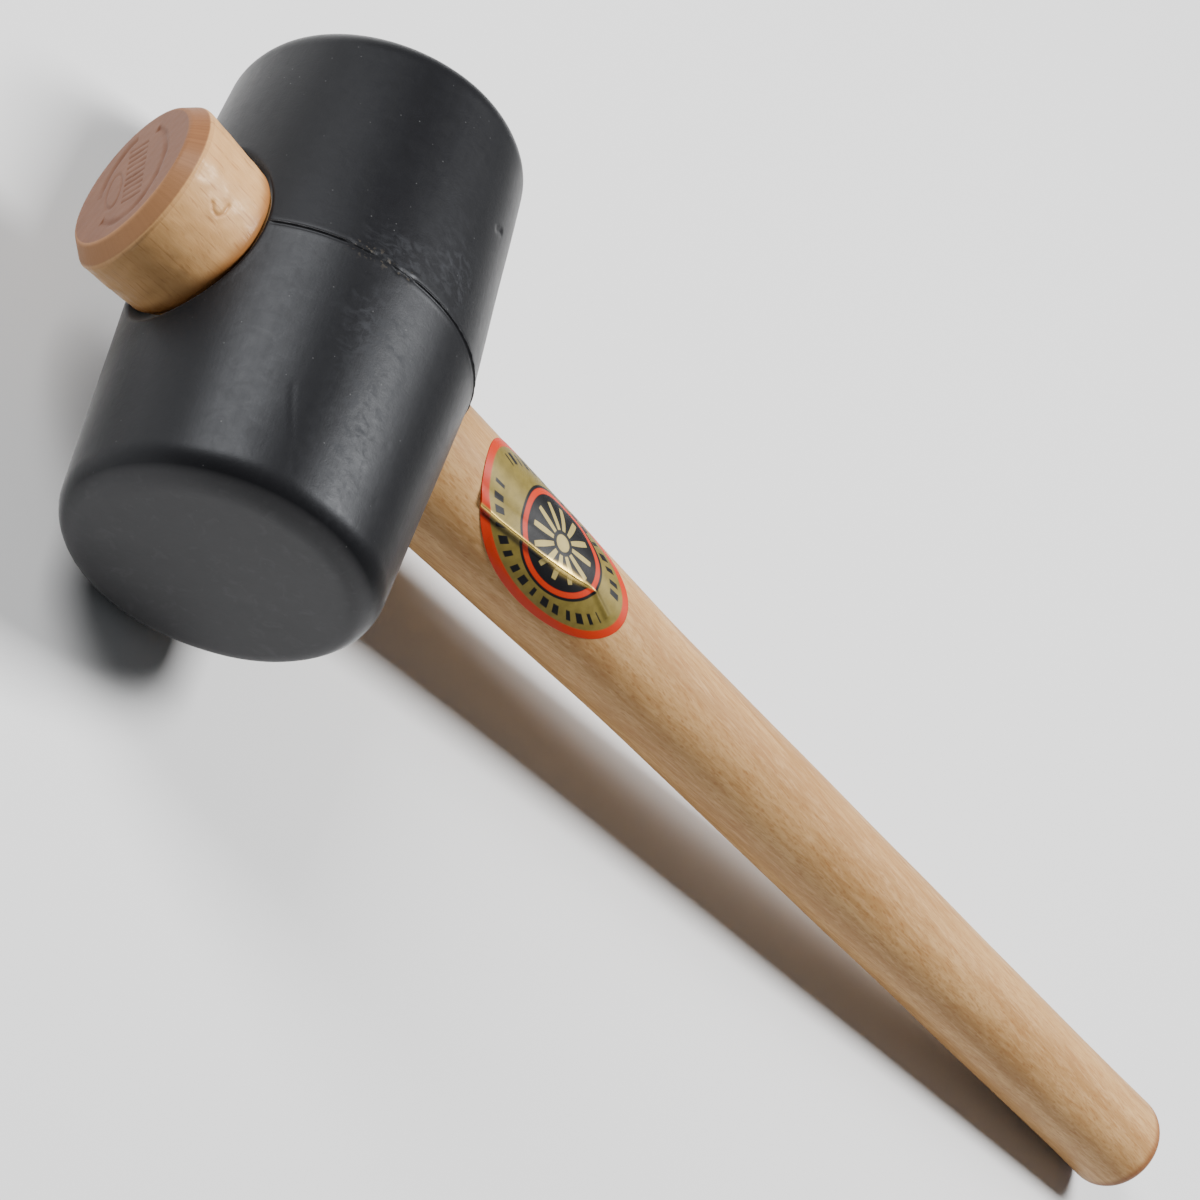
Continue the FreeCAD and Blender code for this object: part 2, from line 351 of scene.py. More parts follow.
def open_eye(points, quads):
    """Open both mouths of the eye. Gives the quads that stay, and new points and quads."""
    radius = np.hypot(points[:, 1], points[:, 2])
    turn = np.arctan2(points[:, 2], points[:, 1])
    kept = np.ones(len(quads), bool)
    blocks, faces = [], []
    count = len(points)
    for side in (-1, 1):
        near = (np.sign(points[:, 0]) == side) & (radius < EYE_SEARCH_R)
        inside = near.copy()
        inside[near] = radius[near] < rim_radius(turn[near], side) + EYE_EDGE_ROUND
        gone = inside[quads].any(1)
        above = open_loop(quads, gone, near)
        kept &= ~gone
        start, rings = eye_rings(np.arctan2(points[above, 2], points[above, 1]), side)
        points[above] = start
        steps, following = around_ring(len(above))
        for ring in rings:
            below = count + steps
            count += len(ring)
            blocks.append(ring)
            faces.append(np.stack([above, above[following], below[following], below], -1))
            above = below
    return kept, blocks, faces


def face_fans(points, pole):
    """Middle points of the two striking faces, and the triangles that close them."""
    steps, following = around_ring(ROUND_STEPS)
    last = len(points) - ROUND_STEPS
    fans = [(pole, b, a) for a, b in zip(steps, following)]
    fans += [(pole + 1, last + a, last + b) for a, b in zip(steps, following)]
    poles = [[0, points[:ROUND_STEPS, 1].mean(), 0], [0, points[last:, 1].mean(), 0]]
    return poles, fans


def drop_unused(verts, faces):
    used = np.zeros(len(verts), bool)
    used[np.concatenate([np.ravel(f) for f in faces])] = True
    place_of = np.cumsum(used) - 1
    return verts[used], [[place_of[i] for i in f] for f in faces]


def head_paint(around, along):
    """Values at each point for the rubber's material."""
    arc = MID_R * around
    smear = sum(bell(arc - a, w) * bell(along - b, h) for a, b, w, h in SMEARS)
    return {
        "face": np.clip((np.abs(along) - (HALF_HEAD - 2.4)) / 1.9, 0, 1),
        "seam": bell(along, FLASH_HALF_WIDTH * 0.8),
        "nick": bell(along, 1.4) * nick_zone(np.degrees(around)),
        "smear": np.clip(smear, 0, 1),
    }


def build_head():
    points, quads = head_surface()
    kept, rings, ring_faces = open_eye(points, quads)
    poles, fans = face_fans(points, len(points) + sum(map(len, rings)))
    verts = np.vstack([points] + rings + [poles])
    faces = np.vstack([quads[kept]] + ring_faces).tolist() + fans
    verts, faces = drop_unused(verts, faces)
    around, along = np.arctan2(verts[:, 0], verts[:, 2]), verts[:, 1]
    chart = np.stack([around / (2 * math.pi) + 0.5, along / (2 * HALF_HEAD) + 0.5], -1)
    paint = head_paint(around, along)
    head = make_piece("rubber_head_moulding", verts, faces, "rubber_head", paint, chart)
    head.data.materials.append(rubber_material())


# ------------------------------------------------------------------ beech handle
TILT_OUT = np.array([-math.cos(KNOB_TILT), 0, -math.sin(KNOB_TILT)])
TILT_UP = np.array([-math.sin(KNOB_TILT), 0, math.cos(KNOB_TILT)])
TILT_SIDE = np.array([0.0, -1.0, 0.0])
KNOB_CENTRE = np.array([KNOB_X, 0.0, 0.0])
FACE_ROWS = 80
SOFTENED = 0.4
SOFTENED_SHARE = 0.03
KNOB_FROM_X = -29
NO_END_GRAIN = 0.2

# The stamp in the knob's end: its turn (about 20 degrees) and its depth.
STAMP_COS, STAMP_SIN, STAMP_DEPTH = 0.94, 0.34, 0.32
# The hooked dent in the knob's side: its place, its depth and its corners (mm along, mm round).
KNOB_MARK_R = 16.5
DENT_X, DENT_ARC, DENT_DEPTH = -36.3, math.radians(22.6) * KNOB_MARK_R, 0.22
DENT_HOOK = ((-2.6, -0.6), (-1.6, 0.3), (-0.3, 0.5), (0.4, -0.6), (0.5, -2.4))


def blended(x, slope_in, slope_out, corner_x, corner_r, reach):
    """Two straight slopes joined by a parabola about their corner."""
    t = np.clip((x - corner_x + reach) / (2 * reach), 0, 1)
    curve = corner_r - slope_in * reach + 2 * slope_in * reach * t + (slope_out - slope_in) * reach * t * t
    outside = corner_r + np.where(x < corner_x, slope_in, slope_out) * (x - corner_x)
    return np.where(np.abs(x - corner_x) <= reach, curve, outside)


def shaft_radius(x):
    """Radius of the neck, waist, grip and flared end."""
    waist_r = neck_radius(WAIST_X)
    grip_slope = (FLARE_R - waist_r) / (FLARE_X - WAIST_X)
    end_slope = (GRIP_R - FLARE_R) / (GRIP_X - GRIP_ROUND - FLARE_X)
    front = blended(x, NECK_SLOPE, grip_slope, WAIST_X, waist_r, WAIST_BLEND)
    back = blended(x, grip_slope, end_slope, FLARE_X, FLARE_R, FLARE_BLEND)
    return np.where(x < (WAIST_X + FLARE_X) / 2, front, back)


def knob_side_radius(x):
    return CHAMFER_R - KNOB_SIDE_SLOPE * (x - KNOB_X - CHAMFER_DEPTH)


def tilted_ring(turn, radius, depth):
    """Ring about the knob's out of square end, at a depth behind its face."""
    spoke = np.sin(turn)[:, None] * TILT_SIDE + np.cos(turn)[:, None] * TILT_UP
    depth = np.broadcast_to(depth, turn.shape)[:, None]
    return KNOB_CENTRE - depth * TILT_OUT + np.broadcast_to(radius, turn.shape)[:, None] * spoke


def chamfer_ring(turn, depth):
    return tilted_ring(turn, KNOB_FACE_R + CHAMFER_WIDEN * depth, depth)


def round_ring(turn, x, radius):
    x = np.broadcast_to(x, turn.shape)
    return np.stack([x, -radius * np.sin(turn), radius * np.cos(turn)], -1)


def chamfer_depth(turn):
    """Depth at which the tilted chamfer meets the knob's side."""
    def within_side(depth):
        ring = chamfer_ring(turn, depth)
        return np.hypot(ring[:, 1], ring[:, 2]) < knob_side_radius(ring[:, 0])

    return bisect(within_side, np.zeros(len(turn)), np.full(len(turn), 9.0))


def knob_end_rings(turn, depth):
    """Rings of the knob's end face and chamfer, each with its end-grain share."""
    face_radii = np.linspace(0.25, KNOB_FACE_R - 0.45, FACE_ROWS)
    rings = [(tilted_ring(turn, radius, 0), 1.0) for radius in face_radii]
    edge = tilted_ring(turn, KNOB_FACE_R, 0)
    rings += [(ring, 0.75) for ring in bezier(rings[-1][0], edge, chamfer_ring(turn, SOFTENED))]
    for t in np.linspace(0, 1, 12)[1:-1]:
        rings.append((chamfer_ring(turn, SOFTENED + (depth - 2 * SOFTENED) * t), 0.6))
    return rings


def knob_side_rings(turn, depth):
    """Rings of the knob's side and rounded foot, each with its end-grain share."""
    corner = chamfer_ring(turn, depth)
    corner_turn = np.unwrap(np.arctan2(-corner[:, 1], corner[:, 2]))
    side_lean = math.atan(KNOB_SIDE_SLOPE)
    arc_x = NECK_X - SHOULDER_ROUND
    arc_r = knob_side_radius(arc_x) - SHOULDER_ROUND / math.cos(side_lean)
    foot_x = arc_x + SHOULDER_ROUND * math.sin(side_lean)

    def side_ring(t):
        x = corner[:, 0] + (foot_x - corner[:, 0]) * t
        return round_ring(corner_turn + (turn - corner_turn) * t, x, knob_side_radius(x))

    before, after = chamfer_ring(turn, depth - SOFTENED), side_ring(SOFTENED_SHARE)
    rings = [(ring, 0.3) for ring in bezier(before, corner, after)]
    rings += [(side_ring(t), 0.0) for t in np.linspace(SOFTENED_SHARE, 1, 56)[1:]]
    last = math.acos((neck_radius(NECK_X) - arc_r) / SHOULDER_ROUND)
    for lean in np.linspace(side_lean, last, 12)[1:]:
        radius = arc_r + SHOULDER_ROUND * math.cos(lean)
        rings.append((round_ring(turn, arc_x + SHOULDER_ROUND * math.sin(lean), radius), 0.0))
    return rings


def shaft_rings(turn):
    """Rings of the neck, grip and rounded end, each with its end-grain share."""
    round_x, flat_r = GRIP_X - GRIP_ROUND, GRIP_R - GRIP_ROUND
    places = [*np.arange(-27.0, 30.0, 3.0), *np.arange(30.0, round_x, 1.4)]
    rings = [(round_ring(turn, x, shaft_radius(x)), 0.0) for x in places]
    for lean in np.linspace(0, math.pi / 2, 14):
        x, radius = round_x + GRIP_ROUND * math.sin(lean), flat_r + GRIP_ROUND * math.cos(lean)
        rings.append((round_ring(turn, x, radius), lean / (math.pi / 2)))
    for radius in np.linspace(flat_r, 0.3, 16)[1:]:
        rings.append((round_ring(turn, GRIP_X, radius), 1.0))
    return rings


def stamp(u, v):
    """A plain worn stamp in the knob's end: an open oval with a hatched band across it."""
    angle = np.arctan2(v / 8.5, u / 11.5)
    oval = np.abs(np.hypot(u / 11.5, v / 8.5) - 1) * 9
    ring = bell(oval, 0.6) * (np.sin(angle * 1.5 + 0.4) > -0.82)
    inner = 0.6 * bell(np.abs(np.hypot(u / 4.8, (v + 4.6) / 1.9) - 1) * 2.8, 0.34)
    hatch = np.zeros_like(u)
    for bar in np.arange(-8.4, 8.5, 1.7):
        hatch = np.maximum(hatch, bell(u - bar - 0.3 * v, 0.36) * (np.abs(v - 0.8) < 2.5))
    worn = 0.75 + 0.25 * np.sin(u * 0.9 + 0.8) * np.cos(v * 0.7)
    return np.clip(ring + 0.7 * hatch + inner, 0, 1) * worn


def shaft_ripple(points):
    """Turned unevenness of the grip; there is none under the label or at the very end."""
    x = points[:, 0]
    beyond_label = np.clip((x - LABEL_X - LABEL_HALF_LONG - 1) / 12, 0, 1)
    before_end = np.clip((GRIP_X - 2 - x) / 6, 0, 1)
    turning = 0.05 * ripple(points * [0.35, 1, 1], 14, 41) + 0.01 * np.sin(x * 2.1 + 0.6 * np.sin(x * 0.31))
    return beyond_label * before_end * turning


def press_stamp(points):
    """Sink the stamp and fine wear into the knob's end face. Gives the stamp's mark."""
    face = slice(0, FACE_ROWS * ROUND_STEPS)
    across = points[face] - KNOB_CENTRE
    u, v = across @ TILT_SIDE, across @ TILT_UP
    mark = np.zeros(len(points))
    mark[face] = stamp(u * STAMP_COS + v * STAMP_SIN, v * STAMP_COS - u * STAMP_SIN)
    depth = STAMP_DEPTH * mark[face] + 0.012 * ripple(points[face], 3.0, 43)
    points[face] -= TILT_OUT * depth[:, None]
    return mark


def handle_faces(rows):
    """Quads between the handle's rings, and the triangles that close both ends."""
    steps, following = around_ring(ROUND_STEPS)
    count = rows * ROUND_STEPS
    base = count - ROUND_STEPS
    faces = ring_quads(rows, ROUND_STEPS)[:, ::-1].tolist()
    faces += [(count, a, b) for a, b in zip(steps, following)]
    faces += [(count + 1, base + b, base + a) for a, b in zip(steps, following)]
    return faces


def build_handle():
    turn = np.linspace(-math.pi, math.pi, ROUND_STEPS, endpoint=False)
    depth = chamfer_depth(turn)
    rings = knob_end_rings(turn, depth) + knob_side_rings(turn, depth) + shaft_rings(turn)
    points = np.vstack([ring for ring, _ in rings])
    end_grain = np.repeat([share for _, share in rings], ROUND_STEPS)
    around = np.arctan2(-points[:, 1], points[:, 2])
    outward = np.stack([np.zeros(len(points)), -np.sin(around), np.cos(around)], -1)
    x = points[:, 0].copy()
    on_knob = (x < KNOB_FROM_X) & (end_grain < NO_END_GRAIN)
    hook = [(DENT_X + a, DENT_ARC + b) for a, b in DENT_HOOK]
    dent = on_knob * stroke(x, around * KNOB_MARK_R, hook, 0.3)
    lacquer = on_knob * (0.03 * ripple(points, 5, 42) + 0.012 * ripple(points, 2.2, 44))
    points += outward * (shaft_ripple(points) + lacquer - DENT_DEPTH * dent)[:, None]
    mark = press_stamp(points)
    # Painted shadow in a band round the knob's foot, where it goes into the head's eye.
    painted_foot_shadow = bell(np.clip(x + 28.9, -9, 0), 1.7) * (x < -27.3) * (end_grain < NO_END_GRAIN)
    paint = {
        "end": np.append(end_grain, [1, 1]),
        "stamp": np.append(np.maximum(mark, 0.6 * dent), [0, 0]),
        "painted_foot_shadow": np.append(painted_foot_shadow, [0, 0]),
        "knob": np.append((x < KNOB_FROM_X) & (end_grain < 0.5), [0, 0]),
    }
    verts = np.vstack([points, KNOB_CENTRE, [GRIP_X, 0, 0]])
    faces = handle_faces(len(rings))
    along = (verts[:, 0] - KNOB_X) / (GRIP_X - KNOB_X)
    chart = np.stack([along, np.append(around, [0, 0]) / (2 * math.pi) + 0.5], -1)
    handle = make_piece("beech_handle", verts, faces, "handle", paint, chart)
    handle.data.materials.append(beech_material())
    handle.data.materials.append(end_grain_material())
    cut = [int(min(paint["end"][i] for i in face) > 0.9) for face in faces]
    handle.data.polygons.foreach_set("material_index", cut)


# ------------------------------------------------------------------ label
LABEL_NECK_R = neck_radius(LABEL_X)
LABEL_COLUMNS, LABEL_ROWS = 300, 200
LABEL_TUCK = -0.03
FIELD_LONG, FIELD_WIDE = 22.5, 12.0
HUB_ALONG, HUB_ASIDE, HUB_LONG, HUB_WIDE = 1.34, -0.49, 12.3, 8.9

# The main fold: its run as mm along the handle from the head's centre and mm round
# from the label's own centre, then its height and the width of the painted highlight along its ridge on the
# way.
FOLD_X = (37.0, 41.4, 47.8, 53.6, 59.5, 65.2, 70.4, 75.2)
FOLD_ARC = (6.1, 6.0, 5.7, 5.2, 4.7, 4.0, 3.2, 2.1)
FOLD_HEIGHT_X = (37, 41, 50, 58, 64, 72, 77)
FOLD_HEIGHT = (1.0, 1.05, 0.75, 0.6, 0.75, 0.65, 0.0)
RIDGE_X = (37, 55, 62, 67, 72, 76)
RIDGE_WIDTH = (0.26, 0.24, 0.30, 0.75, 0.50, 0.12)
FOLD_STEEP, FOLD_GENTLE = 0.75, 3.2
# The short second fold beyond its end.
SECOND_FOLD = ((76.2, 2.2), (82.1, 4.0))


def wrapped(along, across, lift):
    """Place on the neck of a point of the flat label, with its x and arc."""
    x = LABEL_X + along * math.cos(LABEL_SKEW) - across * math.sin(LABEL_SKEW)
    arc = along * math.sin(LABEL_SKEW) + across * math.cos(LABEL_SKEW)
    turn = LABEL_TURN + arc / LABEL_NECK_R
    radius = neck_radius(x) + lift
    return np.stack([x, -radius * np.sin(turn), radius * np.cos(turn)], -1), x, arc


def label_folds(x, arc):
    """Height of the folds, how much painted highlight lies along their ridge, and how much painted shadow
    lies beside their steep side.
    """
    height = np.interp(x, FOLD_HEIGHT_X, FOLD_HEIGHT)
    beyond = arc - np.interp(x, FOLD_X, FOLD_ARC)
    steep_side = np.clip(1 - beyond / FOLD_STEEP, 0, 1)
    gentle_side = np.clip(1 + beyond / FOLD_GENTLE, 0, 1) ** 1.6
    tent = height * np.where(beyond > 0, steep_side, gentle_side)
    second = 0.35 * stroke(x, arc, SECOND_FOLD, 0.7)
    raised = np.clip(height * 3, 0, 1)
    # Painted highlight along the fold's ridge.
    ridge_glint = bell(beyond, np.interp(x, RIDGE_X, RIDGE_WIDTH)) * raised
    # Painted shadow beside the main fold's steep side, and beside the second fold.
    shade = bell(beyond - 1.1, 0.45) * raised * np.clip((64 - x) / 8, 0, 1)
    shade = np.maximum(shade, 0.55 * stroke(x, arc + 0.6, SECOND_FOLD, 0.55))
    return tent + second, ridge_glint, shade


def grid_border(columns, rows):
    """Points round the border of a grid, in order."""
    border = list(range(columns))
    border += [i * columns + columns - 1 for i in range(1, rows)]
    border += [(rows - 1) * columns + j for j in range(columns - 2, -1, -1)]
    border += [i * columns for i in range(rows - 2, 0, -1)]
    return np.array(border)


def build_label():
    u, v = np.meshgrid(np.linspace(-1, 1, LABEL_COLUMNS), np.linspace(-1, 1, LABEL_ROWS))
    disc_u = (u * np.sqrt(1 - v ** 2 / 2)).ravel()
    disc_v = (v * np.sqrt(1 - u ** 2 / 2)).ravel()
    along, across = LABEL_HALF_LONG * disc_u, LABEL_HALF_WIDE * disc_v
    _, x, arc = wrapped(along, across, 0)
    flat = np.stack([x, arc, np.zeros_like(x)], -1)
    stuck = np.clip((np.hypot(disc_u, disc_v) - 0.9) / 0.1, 0, 1)
    at_end = np.clip((44 - x) / 3, 0, 1)
    fold, ridge_glint, shade = label_folds(x, arc)
    buckle = 0.025 * (1 + ripple(flat, 9, 51))
    lift = LABEL_THICK + fold * (1 - stuck * (1 - at_end)) + buckle * (1 - stuck)
    top, _, _ = wrapped(along, across, lift)
    edge = grid_border(LABEL_COLUMNS, LABEL_ROWS)
    under, _, _ = wrapped(along[edge], across[edge], LABEL_TUCK)
    steps, following = around_ring(len(edge))
    skirt = np.stack([edge[following], len(top) + following, len(top) + steps, edge], -1)
    faces = ring_quads(LABEL_ROWS, LABEL_COLUMNS, closed=False)[:, ::-1].tolist() + skirt.tolist()
    chart = np.stack([disc_u, disc_v], -1) * 0.5 + 0.5
    chart = np.vstack([chart, chart[edge]])
    rim = np.zeros(len(edge))
    paint = {"ridge_glint": np.append(ridge_glint, rim), "shade": np.append(shade, rim)}
    label = make_piece("foil_label", np.vstack([top, under]), faces, "label", paint, chart)
    label.data.materials.append(foil_material())


# ------------------------------------------------------------------ shader helpers
class Value:
    """A shader output with arithmetic, so that patterns read as formulas."""

    tree = None

    def __init__(self, socket):
        self.socket = socket

    @classmethod
    def math(cls, operation, *inputs, clamp=False):
        node = cls.tree.nodes.new("ShaderNodeMath")
        node.operation = operation
        node.use_clamp = clamp
        for slot, value in zip(node.inputs, inputs):
            plug(value, slot)
        return Value(node.outputs[0])

    def __add__(self, other):
        return Value.math("ADD", self, other)

    def __sub__(self, other):
        return Value.math("SUBTRACT", self, other)

    def __rsub__(self, other):
        return Value.math("SUBTRACT", other, self)

    def __mul__(self, other):
        return Value.math("MULTIPLY", self, other)

    def __truediv__(self, other):
        return Value.math("DIVIDE", self, other)

    def __pow__(self, other):
        return Value.math("POWER", self, other)

    __radd__ = __add__
    __rmul__ = __mul__


def plug(value, slot):
    if isinstance(value, Value):
        Value.tree.links.new(value.socket, slot)
    elif isinstance(value, bpy.types.NodeSocket):
        Value.tree.links.new(value, slot)
    else:
        slot.default_value = value


def sine(value):
    return Value.math("SINE", value)


def size_of(value):
    return Value.math("ABSOLUTE", value)


def clamped(value):
    return Value.math("ADD", value, 0.0, clamp=True)


def step(value, low, high):
    """0 at low, 1 at high, smooth between; low may be the larger."""
    node = Value.tree.nodes.new("ShaderNodeMapRange")
    node.interpolation_type = "SMOOTHSTEP"
    plug(value, node.inputs["Value"])
    node.inputs["From Min"].default_value = low
    node.inputs["From Max"].default_value = high
    return Value(node.outputs["Result"])


def new_material(name):
    material = bpy.data.materials.new(name)
    material.use_nodes = True
    Value.tree = material.node_tree
    return material, material.node_tree.nodes["Principled BSDF"]


def painted(name):
    node = Value.tree.nodes.new("ShaderNodeAttribute")
    node.attribute_name = name
    return Value(node.outputs["Fac"])


def charted():
    """The two coordinates of a piece's own chart."""
    node = Value.tree.nodes.new("ShaderNodeUVMap")
    node.uv_map = "chart"
    return split(node.outputs["UV"])[:2]


def place(stretch=(1, 1, 1), turn=(0, 0, 0)):
    """Position in the mallet's millimetres, turned, then scaled along each axis."""
    coords = Value.tree.nodes.new("ShaderNodeTexCoord")
    mallet = Value.tree.nodes.new("ShaderNodeMapping")
    mallet.inputs["Scale"].default_value = (1000, 1000, 1000)
    mallet.inputs["Rotation"].default_value = Matrix(AXES.tolist()).to_euler()
    mallet.inputs["Location"].default_value = (-(AXES @ CENTRE) * 1000).tolist()
    plug(coords.outputs["Object"], mallet.inputs["Vector"])
    turned = Value.tree.nodes.new("ShaderNodeMapping")
    turned.inputs["Rotation"].default_value = turn
    plug(mallet.outputs["Vector"], turned.inputs["Vector"])
    scaled = Value.tree.nodes.new("ShaderNodeVectorMath")
    scaled.operation = "MULTIPLY"
    scaled.inputs[1].default_value = stretch
    plug(turned.outputs["Vector"], scaled.inputs[0])
    return scaled.outputs["Vector"]


def split(vector):
    node = Value.tree.nodes.new("ShaderNodeSeparateXYZ")
    plug(vector, node.inputs[0])
    return [Value(out) for out in node.outputs]


def noise(where, scale, detail=4.0, roughness=0.55, distortion=0.0):
    node = Value.tree.nodes.new("ShaderNodeTexNoise")
    node.inputs["Scale"].default_value = scale
    node.inputs["Detail"].default_value = detail
    node.inputs["Roughness"].default_value = roughness
    node.inputs["Distortion"].default_value = distortion
    plug(where, node.inputs["Vector"])
    return Value(node.outputs["Fac"])


def noise_along(value, scale):
    """Noise that varies along one number only."""
    node = Value.tree.nodes.new("ShaderNodeTexNoise")
    node.noise_dimensions = "1D"
    node.inputs["Scale"].default_value = scale
    node.inputs["Detail"].default_value = 3
    plug(value, node.inputs["W"])
    return Value(node.outputs["Fac"])


def cells(where, scale=1.0):
    """Distance to the nearest of many scattered points."""
    node = Value.tree.nodes.new("ShaderNodeTexVoronoi")
    node.inputs["Scale"].default_value = scale
    plug(where, node.inputs["Vector"])
    return Value(node.outputs["Distance"])


def mix(share, first, second):
    node = Value.tree.nodes.new("ShaderNodeMix")
    node.data_type = "RGBA"
    plug(share, node.inputs[0])
    for colour, slot in ((first, node.inputs[6]), (second, node.inputs[7])):
        plug((*colour, 1) if isinstance(colour, tuple) else colour, slot)
    return node.outputs[2]


def bump(height, strength, distance, under=None):
    node = Value.tree.nodes.new("ShaderNodeBump")
    node.inputs["Strength"].default_value = strength
    node.inputs["Distance"].default_value = distance
    plug(height, node.inputs["Height"])
    if under is not None:
        plug(under, node.inputs["Normal"])
    return node.outputs["Normal"]


# ------------------------------------------------------------------ materials
GRAIN_TURN = (0.5, 0.02, 0.09)
# The tree's heart lies beside and below the handle; the year rings' wave turns this much per mm.
HEART_ASIDE, HEART_BELOW, RING_RATE = 24.0, 78.0, 2.1
INK_EDGE = 0.012
# Black of the print, also used for the painted shadow beside the label's folds.
INK_AND_SHADOW_BLACK = (0.006, 0.006, 0.007)
INK_RED = (0.48, 0.028, 0.005)


def rubber_material():
    material, shader = new_material("moulded_black_rubber")
    face, seam, nick, smear = (painted(n) for n in ("face", "seam", "nick", "smear"))
    cloud = noise(place(), 0.07, 4)
    blotch = noise(place(), 0.35, 6, 0.62, 0.8)
    fine = noise(place(), 2.4, 4, 0.6)
    drag = noise(place((1, 0.08, 1)), 0.9, 4, 0.6)
    scuff = step(noise(place((0.8, 1.1, 0.8), (0.4, 0.3, 0.2)), 0.55, 5, 0.6, 0.7), 0.42, 0.74)
    speck = 1 - step(cells(place(), 0.35), 0.035, 0.06)
    chips = step(noise(place(), 1.1, 3), 0.58, 0.66)
    side = mix(cloud, (0.0045, 0.0045, 0.0053), (0.0078, 0.0078, 0.0090))
    side = mix(smear * scuff * 0.5, side, (0.034, 0.036, 0.041))
    flat = mix(cloud, (0.061, 0.060, 0.062), (0.077, 0.076, 0.078))
    flat = mix(step(blotch, 0.5, 0.75) * 0.5, flat, (0.096, 0.095, 0.097))
    colour = mix(face, side, flat)
    colour = mix(seam * 0.6, colour, (0.003, 0.003, 0.0035))
    colour = mix(nick * chips * 0.5, colour, (0.09, 0.075, 0.055))
    colour = mix(speck * 0.5, colour, (0.10, 0.10, 0.10))
    plug(colour, shader.inputs["Base Color"])
    rough = 0.31 + blotch * 0.15 + drag * 0.06 + smear * scuff * 0.20
    plug(rough + face * 0.26, shader.inputs["Roughness"])
    shader.inputs["Specular IOR Level"].default_value = 0.165
    shader.inputs["Specular Tint"].default_value = (0.92, 0.95, 1.0, 1)
    shader.inputs["Sheen Weight"].default_value = 0.22
    shader.inputs["Sheen Roughness"].default_value = 0.3
    grain = bump(fine, 0.05, 0.0003)
    dragged = bump(drag, 0.05, 0.0003, grain)
    plug(bump(blotch, 0.05, 0.0006, dragged), shader.inputs["Normal"])
    return material


def year_angle(y, z):
    """Angle of the year rings' wave, which grows with distance from the tree's heart."""
    return ((y - HEART_ASIDE) ** 2 + (z + HEART_BELOW) ** 2) ** 0.5 * RING_RATE


def beech_grain(fibre, flecks, dashes):
    """Colour of the bare wood, from broad bands down to single fibres."""
    _, y, z = split(place(turn=GRAIN_TURN))
    sway = noise(place((0.02, 0.09, 0.09), GRAIN_TURN), 1.0, 3)
    rings = sine(year_angle(y, z) + sway * 16.0) * 0.5 + 0.5
    broad = noise(place((0.06, 1, 1), GRAIN_TURN), 0.16, 4, 0.5, 0.3)
    streak = noise(place((0.08, 1, 1), GRAIN_TURN), 1.05, 3, 0.58, 0.9)
    wood = mix(step(broad, 0.34, 0.66), (0.395, 0.217, 0.083), (0.545, 0.325, 0.138))
    wood = mix(rings * 0.22, wood, (0.37, 0.190, 0.060))
    wood = mix(step(streak, 0.46, 0.74) * 0.4, wood, (0.69, 0.430, 0.210))
    wood = mix(step(streak, 0.52, 0.28) * 0.6, wood, (0.36, 0.168, 0.060))
    wood = mix(step(fibre, 0.50, 0.68) * 0.42, wood, (0.28, 0.130, 0.042))
    wood = mix(flecks * 0.4, wood, (0.27, 0.105, 0.035))
    return mix(dashes * 0.4, wood, (0.33, 0.135, 0.042))


def beech_material():
    material, shader = new_material("lacquered_beech")
    end, mark, painted_foot_shadow, knob = (painted(n) for n in ("end", "stamp", "painted_foot_shadow", "knob"))
    fibre = noise(place((0.045, 1, 1), GRAIN_TURN), 4.0, 3, 0.62, 0.5)
    sparse = noise(place(), 0.3, 3)
    rays = cells(place((0.34, 2.6, 0.8), GRAIN_TURN))
    flecks = (1 - step(rays, 0.14, 0.34)) * step(sparse, 0.34, 0.60)
    short_rays = cells(place((0.20, 3.0, 1.1), GRAIN_TURN))
    dashes = (1 - step(short_rays, 0.16, 0.42)) * step(sparse, 0.62, 0.42)
    wood = beech_grain(fibre, flecks, dashes)

    # The knob is paler, with long pores. Its near side gets painted shade, and a painted shadow rings its
    # foot where it goes into the head.
    around = charted()[1]
    along, across_head, _ = split(place())
    toward_near = 0 - across_head
    pores = step(noise_along(around, 170.0), 0.56, 0.66) * step(sparse, 0.40, 0.62)
    wood = mix(knob * 0.5, wood, (0.71, 0.405, 0.172))
    wood = mix(knob * pores * 0.6, wood, (0.32, 0.140, 0.055))
    # Painted shade: the knob's side darkens towards the head's near face.
    wood = mix(knob * step(toward_near, 11.5, 16.5) * 0.5, wood, (0.27, 0.150, 0.065))
    # Painted shadow round the knob's foot, just above the head.
    wood = mix(painted_foot_shadow * 0.85, wood, (0.24, 0.088, 0.020))

    # A stain rings the grip's rounded end, and the chamfer and roundings show end grain. The chamfer also
    # carries painted light, lighter towards the head's near face.
    stained = step(along, GRIP_X - GRIP_ROUND - 2.0, GRIP_X - GRIP_ROUND + 0.6)
    wood = mix(stained * 0.75, wood, (0.20, 0.062, 0.024))
    spokes = noise_along(around, 150.0)
    chamfer = mix(step(spokes, 0.3, 0.7) * 0.5, (0.175, 0.070, 0.028), (0.235, 0.103, 0.044))
    # Painted light: the chamfer is painted lighter towards the head's near face.
    chamfer = mix(step(toward_near, -2.0, 14.0) * 0.6, chamfer, (0.29, 0.150, 0.070))
    colour = mix(step(end, 0.2, 0.5), wood, chamfer)
    colour = mix(mark * 0.7, colour, (0.26, 0.088, 0.024))
    plug(colour, shader.inputs["Base Color"])
    worn = step(noise(place((0.5, 1, 1)), 0.55, 4, 0.65), 0.42, 0.62) * knob
    plug(0.46 + fibre * 0.12 + end * 0.12 - worn * 0.22, shader.inputs["Roughness"])
    shader.inputs["Specular IOR Level"].default_value = 0.26
    shader.inputs["Specular Tint"].default_value = (1.0, 0.80, 0.55, 1)
    shader.inputs["Coat Weight"].default_value = 0.05
    shader.inputs["Coat Roughness"].default_value = 0.25
    plug(bump(fibre * 0.6 - flecks * 0.3 - dashes * 0.3, 0.16, 0.00025), shader.inputs["Normal"])
    return material


